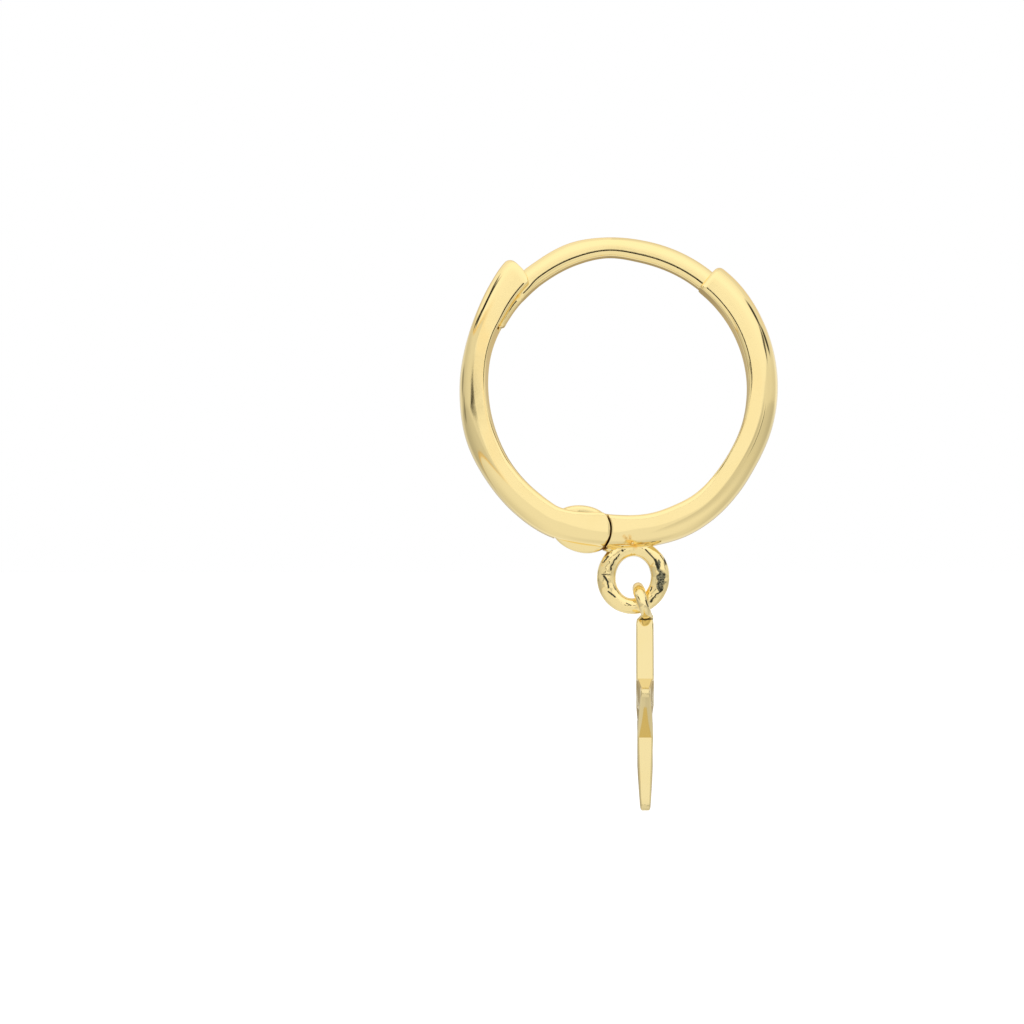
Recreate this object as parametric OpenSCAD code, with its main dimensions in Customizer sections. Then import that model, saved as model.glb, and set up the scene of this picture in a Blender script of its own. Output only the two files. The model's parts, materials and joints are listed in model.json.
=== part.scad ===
// Small hinged hoop earring with a star charm, in millimetres.
// The hoop stands in the XZ plane and its axis is Y. The origin is in the ear wire,
// at the top of the hoop, where the wire goes through the lobe.
// Angles round the hoop run from +X towards +Z.

/* [Hoop band] */
// Outer diameter of the hoop
hoop_d = 12; // [10.5:0.5:16]
// Thickness of the band, from its flat inside to its crown
band_t = 1.2; // [1.1:0.05:1.5]
// Width of the band, across the hoop
band_w = 1.55; // [1.45:0.05:2.2]
// Height of the flat sides of the band, below the crown
band_side = 0.22; // [0.15:0.01:0.4]
// Chamfer on the two inner edges of the band and the ear wire
inner_edge = 0.1; // [0.04:0.01:0.14]

/* [Ear wire] */
// Thickness of the ear wire, from its flat inside to its crown
wire_t = 0.85; // [0.7:0.05:0.9]
// Width of the ear wire, across the hoop
wire_w = 0.85; // [0.7:0.05:0.95]
// Height of the flat sides of the ear wire
wire_side = 0.3; // [0.2:0.05:0.4]
// Angle at which the band steps down to the ear wire
shoulder_a = 50; // [40:1:60]
// Angle at which the ear wire ends, inside the latch
wire_tip_a = 156; // [148:1:162]

/* [Latch] */
// Angle of the latch half's open end
latch_a = 130; // [124:1:138]
// Angle at which the latch half leaves the circle and runs straight to its end
flare_a = 150; // [142:1:158]
// Gap between the ear wire and the walls of the channel that holds it
catch_gap = 0.06; // [0.04:0.01:0.08]
// Gap between the tip of the ear wire and the end of the channel
tip_gap = 0.15; // [0.05:0.05:0.4]

/* [Hinge] */
// Angle of the hinge pin round the hoop
pin_a = 257; // [240:1:265]
// Distance of the hinge pin outside the middle of the band's thickness
pin_out = 0.05; // [0:0.01:0.1]
// Diameter of the hinge pin
pin_d = 0.45; // [0.35:0.05:0.6]
// Diameter of the hinge tongue, which stands proud of the band
tongue_d = 1.76; // [1.5:0.02:1.88]
// Thickness of the hinge tongue, across the hoop
tongue_w = 0.55; // [0.4:0.05:0.7]
// Radius of the ends of the two hinge cheeks
cheek_r = 0.98; // [0.96:0.02:1.2]
// Gap between the moving faces of the hinge
hinge_gap = 0.04; // [0.03:0.01:0.06]
// Radial play of the pin in its holes
pin_play = 0.02; // [0.01:0.01:0.04]
// Depth of each end of the pin below the side of the band
pin_recess = 0.06; // [0.02:0.01:0.15]

/* [Charm loop] */
// Diameter of the charm loop's hole
loop_hole_d = 1.38; // [1.3:0.02:1.7]
// Thickness of the loop's wire, from the hole outwards
loop_t = 0.66; // [0.5:0.02:0.7]
// Width of the loop's wire, across the hoop
loop_w = 0.54; // [0.4:0.02:0.6]
// Depth to which the loop is soldered into the band
loop_sink = 0.25; // [0.15:0.01:0.35]
// Gap between the loop and the hinge cheeks
loop_clear = 0.24; // [0.1:0.02:1]

/* [Bail] */
// Diameter of the bail's hole
bail_hole_d = 0.96; // [0.92:0.02:1.2]
// Diameter of the bail's wire
bail_wire_d = 0.41; // [0.34:0.01:0.46]
// Angle up the side of the charm loop at which the bail rests, which is also its lean
bail_a = 17.5; // [0:0.5:20]
// Gap between the bail and the loop that it hangs on
bail_gap = 0.05; // [0.04:0.01:0.08]
// Depth to which the bail is let into the top of the star
bail_sink = 0.33; // [0.25:0.01:0.4]
// Height of the solder collar round the foot of the bail
collar_h = 0.2; // [0.1:0.01:0.22]
// Width of the solder collar, across the hoop
collar_w = 0.46; // [0.3:0.02:0.5]

/* [Star] */
// Width of the star over its side points
star_w = 7.4; // [6:0.1:10]
// Distance of the star's inner corners from its middle
star_waist_r = 1.88; // [1.5:0.02:2.1]
// Radius of the star's rounded points
star_round = 0.2; // [0.1:0.02:0.3]
// Length by which the top point is cut short, for the bail
star_cut = 0.22; // [0.15:0.01:0.3]
// Thickness of the star at its middle
star_t = 0.64; // [0.55:0.02:0.8]
// Thickness of the star at its four free points
star_tip_t = 0.36; // [0.3:0.02:0.5]
// Distance of the star's middle plane from the foot of the bail
star_shift = -0.08; // [-0.12:0.01:0.12]

/* [Hidden] */
gold = [0.95, 0.82, 0.46];
$fn = 64;

// Facets of a crown and of a star's rounded point
CROWN_STEPS = 12;
POINT_STEPS = 6;

// The hoop
hoop_r = hoop_d / 2;
hole_r = hoop_r - band_t;
pin_path_r = hole_r + band_t / 2 + pin_out;
wire_path_r = hole_r + wire_t / 2;
beyond = 2 * hoop_d;

// The hinge
pin_x = pin_path_r * cos(pin_a);
pin_z = pin_path_r * sin(pin_a);
seat_r = cheek_r + hinge_gap;
seat_span = 2 * asin(seat_r / pin_path_r);

// The latch
flare_l = hoop_r * tan(flare_a - latch_a) + band_t;
channel_end_a = wire_tip_a + asin(tip_gap / wire_path_r);
channel_start_a = latch_a - 10;

// The charm loop, as far from the pin as its gap to the cheeks asks
loop_path_r = (loop_hole_d + loop_t) / 2;
loop_r = loop_path_r + loop_t / 2;
loop_out_r = hoop_r + loop_r - loop_sink;
loop_from_pin = cheek_r + loop_clear + loop_r;
loop_a = pin_a + acos((pow(pin_path_r, 2) + pow(loop_out_r, 2) - pow(loop_from_pin, 2))
                      / (2 * pin_path_r * loop_out_r));
loop_x = loop_out_r * cos(loop_a);
loop_z = loop_out_r * sin(loop_a);

// The bail, square to the loop's wire where it rests
bail_path_r = (bail_hole_d + bail_wire_d) / 2;
bail_drop = loop_path_r + bail_hole_d / 2 - loop_t / 2 - bail_gap;
bail_x = loop_x + bail_drop * sin(bail_a);
bail_z = loop_z - bail_drop * cos(bail_a);
foot_x = bail_x + bail_path_r * sin(bail_a);
foot_z = bail_z - bail_path_r * cos(bail_a);

// The star, with five points of half-angle point_a
star_x = foot_x + star_shift;
point_path_r = (star_w / 2 - star_round) / cos(18);
star_top = point_path_r + star_round - star_cut;
star_top_z = foot_z - bail_wire_d / 2 + bail_sink;
star_z = star_top_z - star_top;
corner_u = star_waist_r * cos(36);
corner_v = star_waist_r * sin(36);
point_reach = point_path_r - corner_u;
point_a = atan2(corner_v, point_reach)
        - asin(star_round / sqrt(pow(point_reach, 2) + pow(corner_v, 2)));

// Section of the band and the ear wire, flat inside at radius r0 and crowned outside
function crowned(r0, width, thick, side, edge) = concat(
    [[r0, edge - width / 2], [r0 + edge, -width / 2]],
    [for (i = [0 : CROWN_STEPS])
        let (a = 180 * i / CROWN_STEPS - 90)
        [r0 + side + (thick - side) * cos(a), width / 2 * sin(a)]],
    [[r0 + edge, width / 2], [r0, width / 2 - edge]]);

function turned(p, a) = [p[0] * cos(a) - p[1] * sin(a), p[0] * sin(a) + p[1] * cos(a)];

// One arm of the star: its rounded point, and the inner corner after it
function star_arm() = concat(
    [for (i = [0 : POINT_STEPS])
        let (a = (90 - point_a) * (2 * i / POINT_STEPS - 1))
        [point_path_r + star_round * cos(a), star_round * sin(a)]],
    [[corner_u, corner_v]]);

function star_outline() =
    [for (k = [0 : 4]) for (p = star_arm()) turned(p, 90 + 72 * k)];

// Places its children about the hoop's middle
module about_hoop() {
    translate([0, 0, -wire_path_r]) children();
}

// Sweeps a section of radius and width round the hoop from angle a0 to a1
module sweep(a0, a1) {
    rotate([90, 0, 0]) rotate([0, 0, a0]) rotate_extrude(angle = a1 - a0) children();
}

module band_section() {
    polygon(crowned(hole_r, band_w, band_t, band_side, inner_edge));
}

module wire_section() {
    polygon(crowned(hole_r, wire_w, wire_t, wire_side, inner_edge));
}

// A round of the hinge, across the hoop
module at_pin(r, width) {
    translate([pin_x, 0, pin_z]) rotate([90, 0, 0]) cylinder(r = r, h = width, center = true);
}

// A slab of the given width, across the hoop
module slab(width) {
    cube([beyond, width, beyond], center = true);
}

module pin_hole() {
    at_pin(pin_d / 2 + pin_play, 2 * band_w);
}

module hinge_tongue() {
    at_pin(tongue_d / 2, tongue_w);
    intersection() {
        sweep(pin_a, pin_a + seat_span) band_section();
        slab(tongue_w);
    }
}

module charm_loop() {
    translate([loop_x, 0, loop_z])
        intersection() {
            rotate([90, 0, 0]) rotate_extrude() translate([loop_path_r, 0]) circle(d = loop_t);
            slab(loop_w);
        }
}

module wire_half() {
    color(gold) about_hoop()
        difference() {
            union() {
                difference() {
                    sweep(pin_a, 360 + shoulder_a) band_section();
                    at_pin(seat_r, 2 * band_w);
                }
                sweep(shoulder_a - 1, wire_tip_a) wire_section();
                hinge_tongue();
                charm_loop();
            }
            pin_hole();
        }
}

// The straight end of the latch half, cut off along the hoop's radius at latch_a
module latch_end() {
    difference() {
        rotate([90, 0, 0]) rotate([0, 0, flare_a]) rotate([90, 0, 0])
            linear_extrude(height = flare_l) band_section();
        rotate([90, 0, 0]) rotate([0, 0, latch_a])
            translate([0, -beyond, -beyond / 2]) cube(beyond);
    }
}

// The open channel that the ear wire's tip lies in: the wire's section grown by the gap
module channel() {
    width = wire_w + 2 * catch_gap;
    sweep(channel_start_a, channel_end_a)
        union() {
            polygon(crowned(hole_r, width, wire_t + catch_gap, wire_side, inner_edge));
            translate([hole_r - band_t, -width / 2]) square([band_t + wire_side, width]);
        }
}

// The space between the hinge cheeks that the tongue turns in
module tongue_slot() {
    at_pin(tongue_d / 2 + hinge_gap, tongue_w + 2 * hinge_gap);
    intersection() {
        past_pin();
        slab(tongue_w + 2 * hinge_gap);
    }
}

// All of the latch half's side of the seat that lies past the pin
module past_pin() {
    sweep(pin_a, pin_a + 2 * seat_span)
        translate([hole_r - band_t, -band_w]) square([3 * band_t, 2 * band_w]);
}

module latch_half() {
    color(gold) about_hoop()
        difference() {
            union() {
                sweep(flare_a, pin_a + seat_span) band_section();
                latch_end();
            }
            difference() {
                past_pin();
                at_pin(cheek_r, 3 * band_w);
            }
            channel();
            tongue_slot();
            pin_hole();
        }
}

module hinge_pin() {
    color(gold) about_hoop() at_pin(pin_d / 2, band_w - 2 * pin_recess);
}

module bail() {
    translate([bail_x, 0, bail_z]) rotate([0, -bail_a, 0]) rotate([0, 90, 0])
        rotate_extrude() translate([bail_path_r, 0]) circle(d = bail_wire_d);
}

module collar() {
    translate([0, collar_w / 2, star_top_z]) rotate([90, 0, 0])
        linear_extrude(height = collar_w)
            polygon([[star_x - star_t * 0.44, -star_cut], [star_x + star_t * 0.44, -star_cut],
                     [foot_x + bail_wire_d / 2, collar_h], [foot_x - bail_wire_d / 2, collar_h]]);
}

// The star's outline as a plate, in the YZ plane
module star_prism() {
    rotate([90, 0, 90]) linear_extrude(height = star_t, center = true) polygon(star_outline());
}

// A round lens that is full thickness up to the star's waist and thins to its points
module star_lens() {
    reach = point_path_r + star_round;
    rotate([0, 90, 0]) rotate_extrude()
        polygon([[0, -star_t / 2], [star_waist_r, -star_t / 2], [reach, -star_tip_t / 2],
                 [reach, star_tip_t / 2], [star_waist_r, star_t / 2], [0, star_t / 2]]);
}

module star_plate() {
    difference() {
        union() {
            intersection() {
                star_prism();
                star_lens();
            }
            intersection() {
                star_prism();
                translate([-star_w / 2, -star_w / 2, corner_u]) cube(star_w);
            }
        }
        translate([-star_w / 2, -star_w / 2, star_top]) cube(star_w);
    }
}

module star_charm() {
    color(gold) about_hoop() {
        bail();
        collar();
        translate([star_x, 0, star_z]) star_plate();
    }
}

wire_half();
latch_half();
hinge_pin();
star_charm();
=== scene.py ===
import json
import math
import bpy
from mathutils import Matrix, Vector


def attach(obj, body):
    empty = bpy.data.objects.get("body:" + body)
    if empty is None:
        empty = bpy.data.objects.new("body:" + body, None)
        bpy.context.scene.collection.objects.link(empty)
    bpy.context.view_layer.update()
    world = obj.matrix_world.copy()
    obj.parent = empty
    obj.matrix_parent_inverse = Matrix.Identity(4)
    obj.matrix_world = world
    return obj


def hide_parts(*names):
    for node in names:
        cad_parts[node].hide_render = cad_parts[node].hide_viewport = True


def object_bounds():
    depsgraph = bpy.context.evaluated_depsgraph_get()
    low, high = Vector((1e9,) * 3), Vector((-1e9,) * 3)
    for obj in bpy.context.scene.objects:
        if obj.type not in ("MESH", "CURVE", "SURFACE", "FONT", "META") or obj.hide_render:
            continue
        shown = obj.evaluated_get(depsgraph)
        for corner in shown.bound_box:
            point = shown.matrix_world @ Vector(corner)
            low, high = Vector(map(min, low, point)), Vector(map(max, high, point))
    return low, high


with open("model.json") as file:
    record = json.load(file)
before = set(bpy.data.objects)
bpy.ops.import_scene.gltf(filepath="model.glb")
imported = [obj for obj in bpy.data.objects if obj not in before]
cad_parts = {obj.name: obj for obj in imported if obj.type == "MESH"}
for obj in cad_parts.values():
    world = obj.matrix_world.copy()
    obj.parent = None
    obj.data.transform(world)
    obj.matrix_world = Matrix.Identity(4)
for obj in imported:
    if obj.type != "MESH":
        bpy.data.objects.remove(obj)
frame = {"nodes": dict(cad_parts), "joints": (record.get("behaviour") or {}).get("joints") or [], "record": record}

from types import SimpleNamespace

import bpy
import bmesh
from bpy.props import FloatProperty, FloatVectorProperty, PointerProperty
from mathutils import Matrix, Vector, noise

bl_info = {
    "name": "Hoop Charm Earring",
    "version": (1, 0, 0),
    "blender": (4, 5, 0),
    "location": "3D View > Sidebar > Earring",
    "description": "Models a small hinged gold hoop with a star charm round its packed frame",
    "category": "Add Mesh",
}

CAD_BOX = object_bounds()
RECORD = frame["record"]
MM = 1000.0


def entry(entries, name):
    """The entry of a name, of the frame's or the record's."""
    return next(found for found in entries if found["name"] == name)


def in_millimetres(metres):
    return Vector(metres) * MM


HINGE = entry(frame["joints"], "latch_hinge")
LOBE_SPACE = entry(RECORD["physics"]["openings"], "lobe_space")
HOOP = sum(map(in_millimetres, LOBE_SPACE["box_m"]), Vector()) / 2
PIN = in_millimetres(HINGE["pos_m"])
OPENING = math.radians(HINGE["range_deg"][1])
LOOP = in_millimetres(entry(RECORD["mounts"], "charm_loop")["pos_m"])
SWING = in_millimetres(entry(frame["joints"], "charm_swing")["pos_m"])


# Sizes and colours

def length(name, description, metres):
    """A length that a user may change."""
    return FloatProperty(name=name, description=description, default=metres, min=0.0,
                         precision=5, unit="LENGTH")


def turn(name, description, degrees):
    """An angle round the hoop, from +X towards +Z."""
    return FloatProperty(name=name, description=description, default=math.radians(degrees),
                         subtype="ANGLE", unit="ROTATION")


def share(name, description, value):
    """A share from nothing to all."""
    return FloatProperty(name=name, description=description, default=value, min=0.0, max=1.0,
                         subtype="FACTOR")


def number(name, description, value):
    """A plain number."""
    return FloatProperty(name=name, description=description, default=value, min=0.0)


def colour(name, description, rgb):
    """A linear colour."""
    return FloatVectorProperty(name=name, description=description, default=rgb, size=3,
                               min=0.0, max=1.0, subtype="COLOR")


class HoopSizes(bpy.types.PropertyGroup):
    """Sizes of the hoop's two halves"""
    width: length("Band width", "Width of the band across the hoop", 0.00155)
    side: length("Band side", "Height of the band's flat side below its crown", 0.0005)
    squareness: number("Squareness", "2 gives the crown's section a true ellipse", 2.3)
    wire_width: length("Ear wire width", "Width of the ear wire", 0.00084)
    wire_side: length("Ear wire side", "Height of the ear wire's side below its crown", 0.00036)
    tongue_width: length("Tongue width", "Width of the ear wire's tip, in the latch", 0.00066)
    shoulder_a: turn("Shoulder", "Where the band steps down to the ear wire", 50)
    shoulder_round: length("Shoulder rounding", "Radius of the shoulder's edge", 0.0002)
    notch_a: turn("Notch", "Where the ear wire narrows to its tip", 135.5)
    tip_a: turn("Wire tip", "Where the ear wire ends", 152.6)
    tip_round: length("Tip rounding", "Radius of the ear wire's tip", 0.00016)


class LatchSizes(bpy.types.PropertyGroup):
    """Sizes of the latch and the hinge"""
    end_a: turn("Latch end", "Where the latch half ends", 128.5)
    channel_a: turn("Channel end", "Where the channel for the ear wire ends", 153.2)
    gap: length("Catch gap", "Gap between the ear wire and its channel", 0.00006)
    tip_round: length("Tip rounding", "Radius of the latch's outer tip", 0.00034)
    mouth_run: length("Mouth run", "Length of the rounding of the latch's inner tip", 0.0002)
    mouth_rise: length("Mouth rise", "Height of the rounding of the latch's inner tip", 0.00036)
    nose: turn("Nose", "Angle by which the latch's end leans back per millimetre", 1.2)
    tip_squareness: number("Tip squareness", "Squareness of the latch's section at its tip",
                           3.4)
    tip_side: length("Tip side", "Height of the flat side at the latch's tip", 0.0005)
    cheek: length("Cheek radius", "Reach of the hinge cheeks from the pin", 0.00098)
    cheek_round: length("Cheek rounding", "Rounding of the cheeks' ends", 0.00008)
    seat: length("Seat radius", "Radius of the hollow seat round the cheeks", 0.00104)
    seat_round: length("Seat rounding", "Rounding of the hollow seat's rim", 0.00003)
    tongue: length("Tongue radius", "Radius of the hinge tongue", 0.00088)
    knuckle: length("Knuckle reach", "Reach of the hinge tongue towards its neck", 0.0011)
    heel: length("Heel reach", "Reach of the hinge tongue into the latch half", 0.00127)
    knuckle_round: length("Knuckle rounding", "Rounding of the tongue's rims", 0.00014)
    neck_width: length("Neck width", "Width of the neck that carries the tongue", 0.00035)
    tongue_width: length("Hinge tongue width", "Width of the hinge tongue", 0.00055)
    hinge_gap: length("Hinge gap", "Gap round the hinge tongue", 0.00004)
    pin: length("Pin bore", "Radius of the bore for the hidden pin", 0.000245)
    pin_length: length("Pin bore length", "Length of the bore for the hidden pin", 0.00144)


class CharmSizes(bpy.types.PropertyGroup):
    """Sizes of the charm loop, the bail and the star"""
    loop_half_width: length("Loop half width", "From the loop's middle to its wire's middle, "
                            "sideways", 0.001)
    loop_half_height: length("Loop half height", "From the loop's middle to its wire's middle, "
                             "downwards", 0.00108)
    loop_wire: length("Loop wire", "Half the thickness of the loop's wire at its sides",
                      0.000352)
    loop_foot: length("Loop foot", "Half the thickness of the loop's wire at its bottom",
                      0.000294)
    loop_width: length("Loop width", "Width of the loop's wire across the hoop", 0.00054)
    loop_lump: length("Loop lumps", "Height of the lumps on the soldered loop", 0.000012)
    bail_radius: length("Bail radius", "Radius of the middle of the bail's wire", 0.000685)
    bail_wire: length("Bail wire", "Thickness of the bail's wire", 0.0004)
    bail_top: length("Bail top", "Width of the bail's wire at its top", 0.00054)
    bail_foot: length("Bail foot", "Width of the bail's wire at its foot", 0.0004)
    bail_reach: length("Bail reach", "From the bail's middle to its foot", 0.00042)
    bail_clear: length("Bail clearance", "From the loop's wire to the bail's middle", 0.0001)
    star_width: length("Star width", "Width of the star over its side points", 0.0074)
    star_waist: length("Star waist", "From the star's middle to its inner corners", 0.00188)
    star_round: length("Star point", "Radius of the star's points", 0.0002)
    star_cut: length("Star cut", "Length cut from the top point", 0.00022)
    star_thick: length("Star thickness", "Thickness of the star's middle", 0.00065)
    star_tip: length("Star tip", "Thickness of the star's free points", 0.00038)
    star_flat: length("Star flat", "From the star's middle to where it grows thinner", 0.0011)
    star_edge: length("Star edge", "Rounding of the star's edges", 0.00008)
    star_shift: length("Star shift", "From the bail's foot to the star's plane", 0.00016)
    star_sink: length("Star sink", "Depth to which the bail is let into the star", 0.00033)


class Finish(bpy.types.PropertyGroup):
    """Colours and polish"""
    gold: colour("Gold", "Colour of the hoop", (0.995, 0.81, 0.395))
    star_gold: colour("Star gold", "Colour of the star", (0.84, 0.695, 0.355))
    bail_gold: colour("Bail gold", "Colour of the bail", (0.95, 0.785, 0.4))
    # Also the colour of the painted dark reflections on the loop and at the star's seam
    fire_scale_and_reflection: colour("Fire scale", "Colour of the dark marks at the soldered loop",
                       (0.045, 0.045, 0.03))
    polish: share("Polish", "Roughness of the polished metal", 0.06)
    floor: colour("Floor", "Colour of the floor", (0.95, 0.95, 0.95))


class EarringSettings(bpy.types.PropertyGroup):
    """All that a user may change"""
    hoop: PointerProperty(type=HoopSizes)
    latch: PointerProperty(type=LatchSizes)
    charm: PointerProperty(type=CharmSizes)
    finish: PointerProperty(type=Finish)


def settings():
    return bpy.context.scene.earring


def in_mm(group):
    """The lengths of a group in millimetres and its other values, by name."""
    sizes = {}
    for name, prop in group.bl_rna.properties.items():
        if prop.type == "FLOAT" and not prop.is_array:
            value = getattr(group, name)
            sizes[name] = value * MM if prop.unit == "LENGTH" else value
    return SimpleNamespace(**sizes)


# Modelling steps

def deselect():
    bpy.ops.object.select_all(action="DESELECT")


def only(obj):
    """Selects one object alone and makes it active."""
    deselect()
    obj.select_set(True)
    bpy.context.view_layer.objects.active = obj


def named(name):
    """Names the object that was just added, and applies its place."""
    obj = bpy.context.object
    obj.name = name
    obj.data.name = name
    only(obj)
    bpy.ops.object.transform_apply(location=True, rotation=True, scale=True)
    return obj


def modify(obj, kind, **values):
    """Adds one modifier and applies it."""
    only(obj)
    modifier = obj.modifiers.new(kind.title(), kind)
    for name, value in values.items():
        setattr(modifier, name, value)
    bpy.ops.object.modifier_apply(modifier=modifier.name)


def boolean(obj, other, operation):
    """Joins another body to this one, or cuts it away, and removes the other."""
    modify(obj, "BOOLEAN", object=other, operation=operation, solver="EXACT")
    bpy.data.objects.remove(other)


def joined(obj, *others):
    """Joins objects into the first one's mesh."""
    only(obj)
    for other in others:
        other.select_set(True)
    bpy.ops.object.join()
    return obj


def melted(obj, grain, soft):
    """Remeshes overlapping bodies into one, and lets their joints flow into each other."""
    modify(obj, "REMESH", mode="VOXEL", voxel_size=grain)
    modify(obj, "SMOOTH", factor=0.5, iterations=soft)


def finish_piece(obj, body, nodes, material, sharp=35):
    """Shades a piece, brings it from millimetres to metres and gives it to its body."""
    only(obj)
    obj.scale = (1 / MM, 1 / MM, 1 / MM)
    bpy.ops.object.transform_apply(location=True, rotation=True, scale=True)
    bpy.ops.object.shade_smooth_by_angle(angle=math.radians(sharp))
    obj.data.materials.clear()
    obj.data.materials.append(material)
    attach(obj, body)
    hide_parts(*nodes)


def cylinder_at(place, radius, depth, name, vertices=96):
    """A cylinder across the hoop."""
    deselect()
    bpy.ops.mesh.primitive_cylinder_add(vertices=vertices, radius=radius, depth=depth,
                                        location=place, rotation=(math.pi / 2, 0, 0))
    return named(name)


def skin(name, rows, flat_ends=(False, False)):
    """Spins a circle into as many sections as there are rows, and lays each on its row.

    Each end is closed with one flat face, or with strips across it."""
    count = len(rows[0])
    deselect()
    bpy.ops.mesh.primitive_circle_add(vertices=count, radius=0.5, location=(3, 0, 0))
    obj = named(name)
    bpy.ops.object.mode_set(mode="EDIT")
    bpy.ops.mesh.select_all(action="SELECT")
    bpy.ops.mesh.spin(steps=len(rows) - 1, angle=math.pi, center=(0, 0, 0), axis=(0, 1, 0))
    bpy.ops.object.mode_set(mode="OBJECT")
    places = [place for row in rows for place in row]
    for vertex, place in zip(obj.data.vertices, places):
        vertex.co = place
    mesh = bmesh.new()
    mesh.from_mesh(obj.data)
    mesh.verts.ensure_lookup_table()
    for flat, start in zip(flat_ends, (0, len(mesh.verts) - count)):
        loop = mesh.verts[start:start + count]
        if flat:
            mesh.faces.new(loop)
        else:
            close_across(mesh, loop)
    bmesh.ops.recalc_face_normals(mesh, faces=mesh.faces)
    mesh.to_mesh(obj.data)
    mesh.free()
    return obj


FLAT_ENDS = (True, True)


def close_across(mesh, loop):
    """Closes an end with strips that run straight across, and a last one at the inside."""
    last = HALF_OUTLINE - 2
    for i in range(last):
        strip = [loop[i], loop[i + 1], loop[-i - 1], loop[-i]]
        mesh.faces.new(strip[:3] if i == 0 else strip)
    mesh.faces.new(loop[last:len(loop) - last + 1])


def within_one(value):
    return min(1.0, max(0.0, value))


def eased(part):
    """A share that sets out and arrives gently."""
    return part * part * (3 - 2 * part)


# The crowned section, as pairs of distance from the hoop's middle and place across it

CROWN = 24
SIDE = 5
LEAD = 4
CORNER = 9
INSIDE = 35
HALF_OUTLINE = CROWN + 1 + SIDE + LEAD + 1 + CORNER


def soft_edge(low, half, edge, lead):
    """The polished inner edge: a lead that turns a little, and then a round."""
    turned = math.radians(3.5 + 6 * (1 - min(1.0, lead / 0.03)))
    drop = lead / 2 * math.tan(turned)
    places = []
    for k in range(LEAD + 1):
        part = k / LEAD
        places.append((low + lead * (1 - part), half - drop * part * part))
    for i in range(CORNER):
        a = turned + (math.pi / 2 - turned) * (i + 1) / CORNER
        across = (math.sin(a) - math.sin(turned)) / (1 - math.sin(turned))
        on = max(0.0, math.cos(a)) / math.cos(turned)
        places.append((low - edge * across, half - drop - (edge - drop) * (1 - on)))
    return places


def crowned(inner, outer, width, side, edge, lead, squareness=2.2, inside=None):
    """An outline from the crown's middle down one side, along the inside and up again."""
    half = width / 2
    start = inner + min(side, 0.55 * (outer - inner))
    down = []
    for i in range(CROWN + 1):
        a = math.pi / 2 * i / CROWN
        power = 2 / squareness
        down.append((start + (outer - start) * max(0.0, math.cos(a)) ** power,
                     half * math.sin(a) ** power))
    low = inner + edge
    down += [(start + (low + lead - start) * (i + 1) / (SIDE + 1), half) for i in range(SIDE)]
    down += soft_edge(low, half, edge, lead)
    if inside is None:
        reach = half - edge
        inside = [(inner, reach * (1 - 2 * (i + 1) / (INSIDE + 1))) for i in range(INSIDE)]
    return down + inside + [(r, -y) for r, y in reversed(down[1:])]


def channel(inner, top, width, straight):
    """The inside of a section that a round-topped channel is cut into."""
    half = width / 2
    edge = 0.05
    wall = [(inner, half + edge)]
    for i in range(1, 5):
        a = math.pi / 2 * i / 4
        wall.append((inner + edge * (1 - math.cos(a)), half + edge * (1 - math.sin(a))))
    rise = max(straight, inner + 2 * edge)
    wall += [(inner + edge + (rise - inner - edge) * i / 4, half) for i in range(1, 4)]
    steps = INSIDE - 2 * len(wall)
    arch = []
    for i in range(steps):
        a = math.pi * i / (steps - 1)
        arch.append((rise + (top - rise) * math.sin(a), half * math.cos(a)))
    return wall + arch + [(r, -y) for r, y in reversed(wall)]


def along(table, angle):
    """Radii at an angle, on a smooth curve through a table's rows."""
    degrees = math.degrees(angle)
    last = len(table) - 1
    i = next((i for i in range(1, last) if degrees < table[i][0]), last)
    rows = [table[min(max(k, 0), last)] for k in (i - 2, i - 1, i, i + 1)]
    low, high = rows[1], rows[2]
    span = high[0] - low[0]
    t = within_one((degrees - low[0]) / span)
    values = []
    for column in range(1, len(low)):
        before, first, second, after = (row[column] for row in rows)
        rise_first = (second - before) / max(second_place(rows, 2, 0), 1) * span
        rise_second = (after - first) / max(second_place(rows, 3, 1), 1) * span
        values.append(first * (1 + 2 * t) * (1 - t) ** 2 + rise_first * t * (1 - t) ** 2
                      + second * t * t * (3 - 2 * t) + rise_second * t * t * (t - 1))
    return values


def second_place(rows, high, low):
    return rows[high][0] - rows[low][0]


def ring(outline, angle):
    """An outline set at an angle, or at an angle that depends on the distance."""
    places = []
    for r, y in outline:
        a = angle(r) if callable(angle) else angle
        places.append(HOOP + Vector((r * math.cos(a), y, r * math.sin(a))))
    return places


def rounding(radius, steps):
    """Steps round an edge, from the end's face: how far in, and how much is drawn in."""
    for i in range(steps + 1):
        a = math.pi / 2 * i / steps
        yield radius * (1 - math.cos(a)), radius * (1 - math.sin(a))


def spread(first, last, steps):
    """Even steps from first to last, without the first."""
    return [first + (last - first) * (i + 1) / steps for i in range(steps)]


PIN_PATH = (PIN - HOOP).length
PIN_A = math.atan2(PIN.z - HOOP.z, PIN.x - HOOP.x) + math.tau


def past_pin(radius):
    """How far past the pin a round about the pin reaches, at a distance from the hoop."""
    def reach(r):
        share = (r * r + PIN_PATH * PIN_PATH - radius * radius) / (2 * r * PIN_PATH)
        return math.acos(min(1.0, max(-1.0, share)))
    return reach


# Pieces

# Distances from the hoop's middle: the middle of the band, the middle of the latch's tip, and
# the height to which the flat sides cover the pin
BAND_MIDDLE = 5.4
LATCH_MIDDLE = 5.6
PIN_COVER = 5.43

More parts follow.
